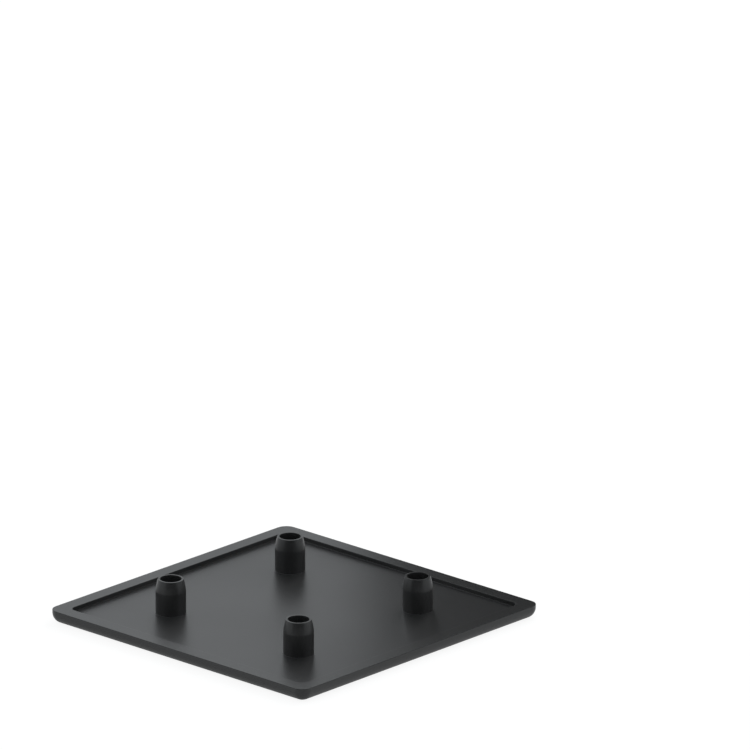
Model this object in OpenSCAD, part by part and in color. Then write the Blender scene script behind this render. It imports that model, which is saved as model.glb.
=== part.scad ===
// Moulded end cap that closes the open end of a square profile.
// A shallow tray with a rolled outer edge carries hollow pegs that press into
// the profile's core bores, while its rim seats on the profile's end face.
// Millimetres. The origin is the centre of the outer face, and +Z points to the pegs.

/* [Profile grid] */
// Grid of the profile, from one core bore to the next
grid = 50; // [40:1:60]
// Grid cells along each side of the square cap, with one peg in each cell
cells = 2; // [1:1:3]

/* [Plate] */
// Thickness of the plate from its outer face to the top of its rim
plate_t = 4.1; // [3.6:0.1:8]
// Radius of the plate's four corners, seen from above
corner_r = 3.4; // [3.3:0.1:8]
// Radius that rolls the side walls into the outer face
edge_r = 3.2; // [0.6:0.1:3.2]

/* [Rim and recess] */
// Width of the raised rim
rim_w = 4.5; // [2:0.1:8]
// Depth of the recess inside the rim
recess_depth = 1.35; // [0.4:0.05:1.6]
// Radius of the recess's four corners
recess_r = 2; // [0.5:0.1:6]

/* [Pegs] */
// Diameter of a peg's straight part, line to line with the core bore
peg_d = 8.8; // [6:0.1:14]
// Length of a peg's straight part above the rim
grip_h = 5.2; // [2:0.1:20]
// Height of the lead-in that ends a peg
lead_h = 3.6; // [1:0.1:8]
// How far the lead-in draws the peg in, on the radius
lead_in = 0.7; // [0.5:0.05:0.9]
// How far the side of the lead-in bows out from a straight line
lead_bow = 0.08; // [0.02:0.01:0.1]
// Wall of the hollow peg along its straight part
peg_wall = 1.3; // [1.2:0.05:2]
// Material left between the outer face and the bottom of a hollow
hollow_base = 2.4; // [1:0.1:2.4]

/* [Hidden] */
$fn = 96;
// How far a cutting shape runs past the face that it opens
cut_past = 1;
side = cells * grid;
recess_side = side - 2 * rim_w;
floor_z = plate_t - recess_depth;
lead_z = plate_t + grip_h;
tip_z = lead_z + lead_h;
// How far under the lead-in its arc takes over, still outside the peg's straight side
lead_lap = lead_in / 4;
peg_r = peg_d / 2;
hollow_r = peg_r - peg_wall;

// Section of the plate's edge, from a corner's centre line outwards.
module edge_section() {
    difference() {
        square([corner_r, plate_t]);
        translate([corner_r - edge_r, 0])
            difference() {
                square(edge_r);
                translate([0, edge_r])
                    circle(edge_r);
            }
    }
}

// Square plate whose edge section runs straight along the sides and turns round the corners.
module plate() {
    straight = side - 2 * corner_r;
    translate([-straight / 2, -straight / 2, 0])
        cube([straight, straight, plate_t]);
    for (quarter = [0 : 3])
        rotate(90 * quarter)
            translate([straight / 2, straight / 2, 0]) {
                rotate([90, 0, 0])
                    linear_extrude(straight)
                        edge_section();
                rotate_extrude(angle = 90)
                    edge_section();
            }
}

// Square with round corners, centred on the origin.
module round_square(width, radius) {
    inner = width - 2 * radius;
    square([width, inner], center = true);
    square([inner, width], center = true);
    for (x = [-1, 1], y = [-1, 1])
        translate([x * inner / 2, y * inner / 2])
            circle(radius);
}

// Pocket that leaves the rim standing.
module recess() {
    translate([0, 0, floor_z])
        linear_extrude(recess_depth + cut_past)
            round_square(recess_side, recess_r);
}

// Half the section of a peg: a straight side, then an arc that bows in to the tip.
module peg_section() {
    chord = norm([lead_in, lead_h]);
    lean = atan(lead_in / lead_h);
    arc_r = chord * chord / (8 * lead_bow) + lead_bow / 2;
    middle = [peg_r - lead_in / 2, lead_z + lead_h / 2];
    centre = middle - (arc_r - lead_bow) * [cos(lean), sin(lean)];
    intersection() {
        translate([0, hollow_base])
            square([peg_r, tip_z - hollow_base]);
        union() {
            square([peg_r + cut_past, lead_z - lead_lap]);
            translate(centre)
                circle(arc_r);
        }
    }
}

// Peg without its hollow, rooted in the plate.
module peg() {
    rotate_extrude()
        peg_section();
}

// Blind hollow that keeps the peg's wall thin.
module peg_hollow() {
    translate([0, 0, hollow_base])
        cylinder(h = tip_z - hollow_base + cut_past, r = hollow_r);
}

// Puts its children over every core bore of the profile.
module at_core_bores() {
    first = -(cells - 1) * grid / 2;
    for (column = [0 : cells - 1], row = [0 : cells - 1])
        translate([first + column * grid, first + row * grid, 0])
            children();
}

// The whole moulding in one piece.
module end_cap() {
    color("#2b2d30")
        difference() {
            union() {
                difference() {
                    plate();
                    recess();
                }
                at_core_bores()
                    peg();
            }
            at_core_bores()
                peg_hollow();
        }
}

end_cap();
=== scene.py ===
"""Looks of a black moulded end cap for a square profile.

The cap is one injection-moulded piece: a shallow tray with a rolled outer edge, a raised rim and four hollow
pegs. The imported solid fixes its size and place. This file gives it the finely softened edges and the satin,
spark-eroded surface of the real moulding, and puts it on a pale studio floor.

Lengths are in metres and angles in degrees, except where a name says otherwise.
"""

import logging
import math
from dataclasses import dataclass, field
from enum import Enum

import bmesh
import bpy
from mathutils import Matrix, Vector


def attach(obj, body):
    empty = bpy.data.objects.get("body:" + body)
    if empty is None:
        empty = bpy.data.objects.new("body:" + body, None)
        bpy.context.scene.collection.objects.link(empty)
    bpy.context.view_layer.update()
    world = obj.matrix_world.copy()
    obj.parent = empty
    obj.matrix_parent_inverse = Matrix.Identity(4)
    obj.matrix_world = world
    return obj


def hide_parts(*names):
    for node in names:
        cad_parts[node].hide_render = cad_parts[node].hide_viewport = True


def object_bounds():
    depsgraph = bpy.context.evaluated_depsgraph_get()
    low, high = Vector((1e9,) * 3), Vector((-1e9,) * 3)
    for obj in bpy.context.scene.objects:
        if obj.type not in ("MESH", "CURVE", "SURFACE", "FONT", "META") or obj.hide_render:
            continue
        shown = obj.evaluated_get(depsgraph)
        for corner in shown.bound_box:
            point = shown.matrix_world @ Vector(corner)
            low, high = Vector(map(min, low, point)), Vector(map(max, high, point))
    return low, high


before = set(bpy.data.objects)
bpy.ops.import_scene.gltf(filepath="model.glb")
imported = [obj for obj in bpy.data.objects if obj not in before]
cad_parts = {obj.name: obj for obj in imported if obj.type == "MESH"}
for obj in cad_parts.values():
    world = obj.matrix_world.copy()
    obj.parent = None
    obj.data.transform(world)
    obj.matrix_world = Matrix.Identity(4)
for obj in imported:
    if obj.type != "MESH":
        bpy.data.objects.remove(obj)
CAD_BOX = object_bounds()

LOG = logging.getLogger("end_cap")
MM = 0.001
NODE = "end_cap"
UP = Vector((0.0, 0.0, 1.0))
WHITE = (1.0, 1.0, 1.0)

Number = int | float
Colour = tuple[float, float, float]
Place = tuple[float, float, float]
Points = list[tuple[float, float]]
Row = list[bmesh.types.BMVert]


class Arithmetic(Enum):
    """What a Math node does with its two values."""

    ADD = "ADD"
    SUBTRACT = "SUBTRACT"
    MULTIPLY = "MULTIPLY"
    MAXIMUM = "MAXIMUM"


class Wire:
    """A node's output that can be used in Python arithmetic, each step of which adds one Math node."""

    def __init__(self, graph: "Graph", socket: bpy.types.NodeSocket) -> None:
        """Keeps a socket and the graph it belongs to.

        Args:
            graph: Node graph that new Math nodes are added to.
            socket: Output socket that carries the value.
        """
        self.graph = graph
        self.socket = socket

    def _math(self, how: Arithmetic, first: "Wire | Number", second: "Wire | Number") -> "Wire":
        """Adds the Math node for one operator.

        Args:
            how: Operation of the node.
            first: Left-hand value.
            second: Right-hand value.

        Returns:
            The result as a new wire.
        """
        return self.graph.node("ShaderNodeMath", {"operation": how.value}, {0: first, 1: second})

    def __add__(self, other: "Wire | Number") -> "Wire":
        """Adds a value to this one."""
        return self._math(Arithmetic.ADD, self, other)

    def __radd__(self, other: Number) -> "Wire":
        """Adds this value to a number."""
        return self._math(Arithmetic.ADD, other, self)

    def __sub__(self, other: "Wire | Number") -> "Wire":
        """Takes a value from this one."""
        return self._math(Arithmetic.SUBTRACT, self, other)

    def __rsub__(self, other: Number) -> "Wire":
        """Takes this value from a number."""
        return self._math(Arithmetic.SUBTRACT, other, self)

    def __mul__(self, other: "Wire | Number") -> "Wire":
        """Multiplies this value by another."""
        return self._math(Arithmetic.MULTIPLY, self, other)

    def __rmul__(self, other: Number) -> "Wire":
        """Multiplies a number by this value."""
        return self._math(Arithmetic.MULTIPLY, other, self)

    def larger(self, other: "Wire | Number") -> "Wire":
        """Takes the larger of this value and another."""
        return self._math(Arithmetic.MAXIMUM, self, other)


@dataclass(frozen=True)
class Cloud:
    """A cloudy noise: the size of one cloud, the number of its finer layers, and their weight."""

    size: float
    layers: float
    weight: float


class Graph:
    """The node graph of one material or of the world."""

    def __init__(self, tree: bpy.types.NodeTree) -> None:
        """Empties a node tree and keeps it.

        Args:
            tree: Node tree to fill.
        """
        self.tree = tree
        self.tree.nodes.clear()

    def node(self, kind: str, settings: dict[str, str] | None = None,
             feeds: dict[int | str, Wire | Number | tuple] | None = None, out: int | str = 0) -> Wire | None:
        """Adds any node.

        Args:
            kind: Blender's identifier of the node's type.
            settings: Attributes of the node, set before its sockets are used.
            feeds: Value, colour or wire for each input socket, by name or by number.
            out: Output socket to return, by name or by number.

        Returns:
            The chosen output as a wire, or None for a node that ends the graph.
        """
        made = self.tree.nodes.new(kind)
        for name, value in (settings or {}).items():
            setattr(made, name, value)
        for name, value in (feeds or {}).items():
            target = made.inputs[name]
            if isinstance(value, Wire):
                self.tree.links.new(value.socket, target)
            else:
                target.default_value = value
        return Wire(self, made.outputs[out]) if made.outputs else None

    def place(self) -> Wire:
        """Gives the position on the object."""
        return self.node("ShaderNodeTexCoord", out="Object")

    def noise(self, place: Wire, cloud: Cloud) -> Wire:
        """Adds a cloudy noise of a real size.

        Args:
            place: Position on the object.
            cloud: Size and layers of the noise.

        Returns:
            Noise around one half.
        """
        return self.node("ShaderNodeTexNoise", out="Fac", feeds={
            "Vector": place, "Scale": 1.0 / cloud.size, "Detail": cloud.layers, "Roughness": cloud.weight})

    def blend(self, share: Wire, first: Colour, second: Colour) -> Wire:
        """Mixes two colours.

        Args:
            share: Share of the second colour.
            first: Colour where the share is 0.
            second: Colour where the share is 1.

        Returns:
            The mixed colour.
        """
        feeds = {"Factor": share, "A": (*first, 1.0), "B": (*second, 1.0)}
        return self.node("ShaderNodeMix", {"data_type": "RGBA"}, feeds, "Result")

    def ray_kinds(self) -> tuple[Wire, Wire]:
        """Tells the rays that show the background from those that light the object.

        Returns:
            1 for camera rays, then 1 for rays that are mirrored or passed on, and 0 for the rest.
        """
        camera, glossy, passed = [self.node("ShaderNodeLightPath", out=name) for name in
                                  ("Is Camera Ray", "Is Glossy Ray", "Is Transmission Ray")]
        return camera, glossy.larger(passed)


def new_material(name: str) -> tuple[bpy.types.Material, Graph]:
    """Starts a material.

    Args:
        name: Name of the material.

    Returns:
        The material and its empty graph.
    """
    made = bpy.data.materials.new(name)
    made.use_nodes = True
    return made, Graph(made.node_tree)


@dataclass(frozen=True)
class SatinMoulding:
    """Black moulded plastic under a faint haze.

    The grain is its very fine spark-eroded texture, the mottle a slight unevenness of its tone, and the flow
    a slow change of its gloss.
    """

    dark: Colour = (0.0122, 0.0124, 0.0126)
    light: Colour = (0.0168, 0.0170, 0.0173)
    mottle_share: float = 0.65
    roughness: float = 0.34
    roughness_spread: float = 0.08
    refraction: float = 1.43
    haze: float = 0.3
    haze_roughness: float = 0.6
    haze_refraction: float = 1.4
    grain: Cloud = Cloud(size=0.28 * MM, layers=2.0, weight=0.55)
    grain_height: float = 0.005 * MM
    mottle: Cloud = Cloud(size=9.0 * MM, layers=3.0, weight=0.5)
    flow: Cloud = Cloud(size=36.0 * MM, layers=1.0, weight=0.4)

    def material(self) -> bpy.types.Material:
        """Builds the material.

        Returns:
            The finished material.
        """
        made, graph = new_material("satin_black_moulding")
        place = graph.place()
        grain = graph.noise(place, self.grain)
        mottle = graph.noise(place, self.mottle)
        flow = graph.noise(place, self.flow)
        shade = self.mottle_share * mottle + (1.0 - self.mottle_share) * grain
        bump = graph.node("ShaderNodeBump", feeds={"Distance": self.grain_height, "Height": grain})
        shader = graph.node("ShaderNodeBsdfPrincipled", feeds={
            "Base Color": graph.blend(shade, self.dark, self.light),
            "Roughness": self.roughness + self.roughness_spread * (grain + flow - 1.0),
            "Normal": bump, "IOR": self.refraction, "Coat Weight": self.haze,
            "Coat Roughness": self.haze_roughness, "Coat IOR": self.haze_refraction})
        graph.node("ShaderNodeOutputMaterial", feeds={"Surface": shader})
        return made


@dataclass(frozen=True)
class PaleFloor:
    """Pale studio floor that keeps the object's shadow.

    The veils are the shares of plain white that lie over it for the camera and in reflections.
    """

    colour: Colour = (0.80, 0.80, 0.80)
    veil: float = 0.81
    mirrored_veil: float = 0.30
    white: float = 1.10

    def material(self) -> bpy.types.Material:
        """Builds the material.

        Returns:
            The finished material.
        """
        made, graph = new_material("pale_floor")
        camera, mirrored = graph.ray_kinds()
        share = (camera * self.veil).larger(mirrored * self.mirrored_veil)
        matt = graph.node("ShaderNodeBsdfDiffuse", feeds={"Color": (*self.colour, 1.0)})
        glow = graph.node("ShaderNodeEmission", feeds={"Strength": self.white})
        both = graph.node("ShaderNodeMixShader", feeds={0: share, 1: matt, 2: glow})
        graph.node("ShaderNodeOutputMaterial", feeds={"Surface": both})
        return made


@dataclass(frozen=True)
class MattBlack:
    """Plain black of the studio's dark cards."""

    colour: Colour = (0.02, 0.02, 0.02)

    def material(self, name: str) -> bpy.types.Material:
        """Builds the material.

        Args:
            name: Name of the material.

        Returns:
            The finished material.
        """
        made, graph = new_material(name)
        matt = graph.node("ShaderNodeBsdfDiffuse", feeds={"Color": (*self.colour, 1.0)})
        graph.node("ShaderNodeOutputMaterial", feeds={"Surface": matt})
        return made


def arc(centre: tuple[float, float], radius: float, start: float, end: float, steps: int) -> Points:
    """Lays points along a round.

    Args:
        centre: Centre of the round, as across and up.
        radius: Radius of the round.
        start: First angle, from the direction across.
        end: Last angle.
        steps: Number of pieces that the round is made of.

    Returns:
        The points in order.
    """
    points = []
    for step in range(steps + 1):
        angle = math.radians(start + (end - start) * step / steps)
        points.append((centre[0] + radius * math.cos(angle), centre[1] + radius * math.sin(angle)))
    return points


@dataclass
class Skin:
    """Closed surface that is stretched over rows of points.

    A straight longer than `long` is held by a point at the distance `hold` from each of its ends.
    """

    mesh: bmesh.types.BMesh = field(default_factory=bmesh.new)
    hold: float = 0.05 * MM
    long: float = 0.5 * MM
    flat_weight: int = 100

    def held(self, section: Points) -> Points:
        """Adds the points that hold the long straights, which keeps their shading flat.

        Args:
            section: Points of the section in order.

        Returns:
            The section with the added points.
        """
        points = [section[0]]
        for first, second in zip(section, section[1:]):
            run = math.dist(first, second)
            if run > self.long:
                for share in (self.hold / run, 1 - self.hold / run):
                    points.append(tuple(a + (b - a) * share for a, b in zip(first, second)))
            points.append(second)
        return points

    def row(self, outline: Points, height: float) -> Row:
        """Adds one closed row of vertices.

        Args:
            outline: Places of the vertices, anticlockwise seen from above.
            height: Height of them all.

        Returns:
            The new vertices.
        """
        return [self.mesh.verts.new((across, along, height)) for across, along in outline]

    def loft(self, rows: list[Row]) -> None:
        """Joins each row to the next with a band of faces.

        Args:
            rows: Rows of equal length, in order.
        """
        for first, second in zip(rows, rows[1:]):
            for index, vertex in enumerate(first):
                after = (index + 1) % len(first)
                self.mesh.faces.new((vertex, first[after], second[after], second[index]))

    def lid(self, row: Row) -> None:
        """Closes a row with one flat face.

        Args:
            row: Row to close.
        """
        self.mesh.faces.new(row)

    def floor(self, rows: list[Row]) -> None:
        """Fills the flat area between an outer row and the holes inside it.

        Args:
            rows: The outer row and each hole's row, all at one height.
        """
        edges = [self.mesh.edges.get((vertex, row[(index + 1) % len(row)]))
                 for row in rows for index, vertex in enumerate(row)]
        bmesh.ops.triangle_fill(self.mesh, use_beauty=True, use_dissolve=False, edges=edges)

    def object(self, name: str) -> bpy.types.Object:
        """Turns the surface into an object with smooth, face-weighted normals.

        Args:
            name: Name of the object.

        Returns:
            The object, linked to the scene.
        """
        bmesh.ops.recalc_face_normals(self.mesh, faces=self.mesh.faces)
        for face in self.mesh.faces:
            face.smooth = True
        data = bpy.data.meshes.new(name)
        self.mesh.to_mesh(data)
        self.mesh.free()
        made = bpy.data.objects.new(name, data)
        bpy.context.scene.collection.objects.link(made)
        weighted = made.modifiers.new("face_weighted_normals", "WEIGHTED_NORMAL")
        weighted.weight = self.flat_weight
        weighted.keep_sharp = False
        return made


@dataclass
class Tray:
    """The plate of the cap: rolled outer edge, rim and shallow recess."""

    side: float
    thickness: float = 4.1 * MM
    corner: float = 3.4 * MM
    roll: float = 3.2 * MM
    rim: float = 4.5 * MM
    recess_depth: float = 1.35 * MM
    recess_corner: float = 2.0 * MM
    softening: float = 0.14 * MM
    corner_steps: int = 20
    roll_steps: int = 18
    soft_steps: int = 4

    @property
    def floor_z(self) -> float:
        """Height of the recess's floor."""
        return self.thickness - self.recess_depth

    def outer_section(self, hold: float) -> Points:
        """Lays the section of the edge, from the outer face round the side to the rim.

        Args:
            hold: How far the section runs into the flat at each end.

        Returns:
            Distance from the middle and height of each point.
        """
        half, soft, top = self.side / 2, self.softening, self.thickness
        section = [(half - self.roll - hold, 0.0)]
        section += arc((half - self.roll, self.roll), self.roll, -90, 0, self.roll_steps)
        section += arc((half - soft, top - soft), soft, 0, 90, self.soft_steps)
        return section + [(half - soft - hold, top)]

    def inner_section(self, hold: float) -> Points:
        """Lays the section of the recess's wall, from the rim down to the floor.

        Args:
            hold: How far the section runs into the flat at each end.

        Returns:
            Distance from the middle and height of each point.
        """
        wall, soft, top = self.side / 2 - self.rim, self.softening, self.thickness
        section = [(wall + soft + hold, top)]
        section += arc((wall + soft, top - soft), soft, 90, 180, self.soft_steps)
        section += arc((wall - soft, self.floor_z + soft), soft, 0, -90, self.soft_steps)
        return section + [(wall - soft - hold, self.floor_z)]

    def square(self, middle: float, corner: float) -> Points:
        """Lays points round a square with rounded corners.

        Args:
            middle: Distance of the corners' centres from the square's own middle lines.
            corner: Radius of the corners.

        Returns:
            The points, anticlockwise seen from above.
        """
        points = []
        for quarter, (x, y) in enumerate(((1, 1), (-1, 1), (-1, -1), (1, -1))):
            start = 90 * quarter
            points += arc((x * middle, y * middle), corner, start, start + 90, self.corner_steps)
        return points

    def build(self, skin: Skin) -> Row:
        """Adds the tray's surface, from the outer face over the rim to the edge of the recess's floor.

        Args:
            skin: Surface that the rows are added to.

        Returns:
            The row round the recess's floor.
        """
        half = self.side / 2
        outer = self.outer_section(skin.hold), half - self.corner
        inner = self.inner_section(skin.hold), half - self.rim - self.recess_corner
        rows = []
        for section, middle in (outer, inner):
            for across, up in skin.held(section):
                rows.append(skin.row(self.square(middle, across - middle), up))
        skin.lid(rows[0])
        skin.loft(rows)
        return rows[-1]


@dataclass
class Peg:
    """One hollow peg that presses into a core bore of the profile."""

    across: float
    along: float
    foot_z: float
    rim_z: float
    tip_z: float
    radius: float = 4.4 * MM
    wall: float = 1.3 * MM
    grip: float = 5.2 * MM
    lead_in: float = 0.7 * MM
    lead_bow: float = 0.08 * MM
    crisp_share: float = 0.015
    hollow_base: float = 2.4 * MM
    softening: float = 0.03 * MM
    foot_softening: float = 0.05 * MM
    round_steps: int = 72
    lead_steps: int = 8
    soft_steps: int = 3

    def lead(self) -> Points:
        """Lays the side of the lead-in, from the grip to just under the tip.

        The side bows out most at its middle. One more point close to its start keeps the break between the
        grip and the lead-in crisp.

        Returns:
            Radius and height of each point.
        """
        start_z = self.rim_z + self.grip
        height = self.tip_z - start_z
        shares = [step / self.lead_steps for step in range(self.lead_steps + 1)]
        points = []
        for share in [shares[0], self.crisp_share, *shares[1:]]:
            bow = 4 * self.lead_bow * share * (1 - share)
            points.append((self.radius - self.lead_in * share + bow, start_z + height * share))
        last_r, last_z = points.pop()
        return points + [(last_r, last_z - self.softening)]

    def section(self, hold: float) -> Points:
        """Lays the peg's section, from its foot over the tip to the bottom of its hollow.

        Args:
            hold: How far the section runs into the flat at each end.

        Returns:
            Radius and height of each point.
        """
        soft, foot, steps = self.softening, self.foot_softening, self.soft_steps
        tip_r = self.radius - self.lead_in
        hollow_r = self.radius - self.wall
        section = [(self.radius + foot + hold, self.foot_z)]
        section += arc((self.radius + foot, self.foot_z + foot), foot, 270, 180, steps)
        section += self.lead()
        section += arc((tip_r - soft, self.tip_z - soft), soft, 0, 90, steps)[1:]
        section += arc((hollow_r + soft, self.tip_z - soft), soft, 90, 180, steps)
        section += arc((hollow_r - foot, self.hollow_base + foot), foot, 0, -90, steps)
        return section + [(hollow_r - foot - hold, self.hollow_base)]

    def build(self, skin: Skin) -> Row:
        """Adds the peg's surface.

        Args:
            skin: Surface that the rows are added to.

        Returns:
            The row round the peg's foot.
        """
        rows = []
        for radius, height in skin.held(self.section(skin.hold)):
            circle = arc((self.across, self.along), radius, 0, 360, self.round_steps)[:-1]
            rows.append(skin.row(circle, height))
        skin.loft(rows)
        skin.lid(rows[-1])
        return rows[0]


@dataclass
class EndCap:
    """The whole moulding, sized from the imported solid's box."""

    low: Vector
    high: Vector
    pegs_per_side: int = 2

    def pegs(self, tray: Tray) -> list[Peg]:
        """Places one peg over the middle of each cell of the profile's grid.

        Args:
            tray: Tray that the pegs stand in.

        Returns:
            The pegs.
        """
        pitch = tray.side / self.pegs_per_side
        first = -(self.pegs_per_side - 1) * pitch / 2
        places = [first + index * pitch for index in range(self.pegs_per_side)]
        return [Peg(across, along, foot_z=tray.floor_z, rim_z=tray.thickness, tip_z=self.high.z)
                for across in places for along in places]

    def build(self) -> bpy.types.Object:
        """Builds the moulding as one closed surface.

        Returns:
            The object.
        """
        skin = Skin()
        tray = Tray(side=self.high.x - self.low.x)
        rows = [tray.build(skin)]
        rows += [peg.build(skin) for peg in self.pegs(tray)]
        skin.floor(rows)
        return skin.object("end_cap_moulding")

    def dress(self, piece: bpy.types.Object, finish: SatinMoulding) -> None:
        """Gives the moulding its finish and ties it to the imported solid.

        Args:
            piece: The moulding.
            finish: Finish of its surface.
        """
        piece.data.materials.append(finish.material())
        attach(piece, "root")
        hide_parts(NODE)


@dataclass(frozen=True)
class PhotoCamera:
    """Camera at the photograph's viewing angle.

    The object's origin appears at the given pixel of a square image.
    """

    azimuth: float = 42.641
    elevation: float = 18.739
    roll: float = 0.164
    focal_px: float = 13398.8
    distance: float = 3.8389
    origin_px: tuple[float, float] = (294.25, 619.69)
    image_px: float = 750.0
    sensor_mm: float = 36.0
    sight: float = 100.0

    @property
    def right(self) -> Vector:
        """Level direction to the camera's right."""
        turn = math.radians(self.azimuth)
        return Vector((math.cos(turn), math.sin(turn), 0.0))

    @property
    def away(self) -> Vector:
        """Level direction in which the camera looks."""
        return UP.cross(self.right)

    def build(self) -> bpy.types.Object:
        """Adds the camera and makes it the scene's own.

        Returns:
            The camera.
        """
        rise = math.radians(self.elevation)
        back = UP * math.sin(rise) - self.away * math.cos(rise)
        tilt = Matrix.Rotation(math.radians(self.roll), 3, back)
        right = tilt @ self.right
        up = tilt @ back.cross(self.right)
        shift_right, shift_down = [(pixel - self.image_px / 2) / self.focal_px * self.distance
                                   for pixel in self.origin_px]
        data = bpy.data.cameras.new("photo_camera")
        data.sensor_width = self.sensor_mm
        data.lens = self.focal_px / self.image_px * self.sensor_mm
        data.clip_end = self.sight
        made = bpy.data.objects.new("photo_camera", data)
        turned = Matrix((right, up, back)).transposed().to_4x4()
        place = back * self.distance - right * shift_right + up * shift_down
        made.matrix_world = Matrix.Translation(place) @ turned
        bpy.context.scene.collection.objects.link(made)
        bpy.context.scene.camera = made
        return made


@dataclass(frozen=True)
class RoomLight:
    """Even light of the room, shown as white behind the object."""

    strength: float = 0.82
    colour: Colour = (0.812, 0.846, 0.869)

    def world(self) -> bpy.types.World:
        """Builds the world.

        Returns:
            The finished world.
        """
        made = bpy.data.worlds.new("room_light")
        made.use_nodes = True
        graph = Graph(made.node_tree)
        camera, mirrored = graph.ray_kinds()
        light = graph.node("ShaderNodeBackground", feeds={
            "Color": graph.blend(camera, self.colour, WHITE),
            "Strength": self.strength + (1.0 - self.strength) * camera.larger(mirrored)})
        graph.node("ShaderNodeOutputWorld", feeds={"Surface": light})
        return made


@dataclass(frozen=True)
class SoftLamp:
    """Square lamp that points at the cap.

    Its middle is given to the camera's right, away from the camera and up.
    """

    name: str
    side: float
    watts: float
    middle: Place


@dataclass(frozen=True)
class DarkCard:
    """Upright black card that only shows as a dark part of the cap's sheen.

    Its middle is given as a lamp's is.
    """

    name: str
    width: float
    height: float
    middle: Place
    faces_camera: bool


@dataclass
class Studio:
    """Pale floor, room light, soft lamp and dark cards, laid out along the camera's line of sight."""

    right: Vector
    away: Vector
    floor_size: float = 12.0
    floor_gap: float = 0.02 * MM
    lamp: SoftLamp = SoftLamp("soft_back", side=1.4, watts=8.5, middle=(0.80, 0.90, 1.05))
    cards: tuple[DarkCard, ...] = (
        DarkCard("back_card", width=0.80, height=1.00, middle=(0.422, 0.21, 0.501), faces_camera=True),
        DarkCard("front_card", width=0.60, height=0.20, middle=(0.0, -0.28, 0.101), faces_camera=False),
    )

    def build(self) -> None:
        """Adds everything that isn't the object."""
        self.lay_floor(PaleFloor())
        bpy.context.scene.world = RoomLight().world()
        self.hang_lamp(self.lamp)
        for card in self.cards:
            self.stand_card(card, MattBlack())

    def spot(self, middle: Place) -> Vector:
        """Turns a place seen from the camera into a place in the room.

        Args:
            middle: To the camera's right, away from the camera and up.

        Returns:
            The place.
        """
        return self.right * middle[0] + self.away * middle[1] + UP * middle[2]

    def plane(self, name: str, width: float, height: float) -> bpy.types.Object:
        """Adds a flat rectangle round the origin.

        Args:
            name: Name of the object.
            width: Size along X.
            height: Size along Y.

        Returns:
            The object.
        """
        data = bpy.data.meshes.new(name)
        corners = [(x * width / 2, y * height / 2, 0) for x, y in ((-1, -1), (1, -1), (1, 1), (-1, 1))]
        data.from_pydata(corners, [], [(0, 1, 2, 3)])
        made = bpy.data.objects.new(name, data)
        bpy.context.scene.collection.objects.link(made)
        return made

    def lay_floor(self, finish: PaleFloor) -> None:
        """Adds the floor, a hair under the cap.

        Args:
            finish: Finish of the floor.
        """
        made = self.plane("studio_floor", self.floor_size, self.floor_size)
        made.location.z = -self.floor_gap
        made.data.materials.append(finish.material())

    def hang_lamp(self, lamp: SoftLamp) -> None:
        """Adds a lamp.

        Args:
            lamp: Size, power and place of the lamp.
        """
        data = bpy.data.lights.new(lamp.name, "AREA")
        data.size = lamp.side
        data.energy = lamp.watts
        made = bpy.data.objects.new(lamp.name, data)
        made.location = self.spot(lamp.middle)
        made.rotation_euler = made.location.to_track_quat("Z", "Y").to_euler()
        made.visible_camera = False
        bpy.context.scene.collection.objects.link(made)

    def stand_card(self, card: DarkCard, finish: MattBlack) -> None:
        """Adds a dark card, which casts no shadow and takes no soft light away.

        Args:
            card: Size and place of the card.
            finish: Finish of the card.
        """
        made = self.plane(card.name, card.width, card.height)
        made.data.materials.append(finish.material(card.name))
        faces = -self.away if card.faces_camera else self.away
        turned = Matrix((UP.cross(faces), UP, faces)).transposed().to_4x4()
        made.matrix_world = Matrix.Translation(self.spot(card.middle)) @ turned
        made.visible_camera = False
        made.visible_shadow = False
        made.visible_diffuse = False


def main() -> None:
    """Builds the cap, the camera and the studio."""
    logging.basicConfig(level=logging.INFO, format="%(name)s: %(message)s")
    bpy.context.scene.view_settings.view_transform = "Standard"
    cap = EndCap(low=CAD_BOX[0], high=CAD_BOX[1])
    piece = cap.build()
    cap.dress(piece, SatinMoulding())
    LOG.info("%s: %d faces", piece.name, len(piece.data.polygons))
    camera = PhotoCamera()
    eye = camera.build()
    LOG.info("%s: lens %.0f mm", eye.name, eye.data.lens)
    Studio(right=camera.right, away=camera.away).build()


if __name__ == "__main__":
    main()
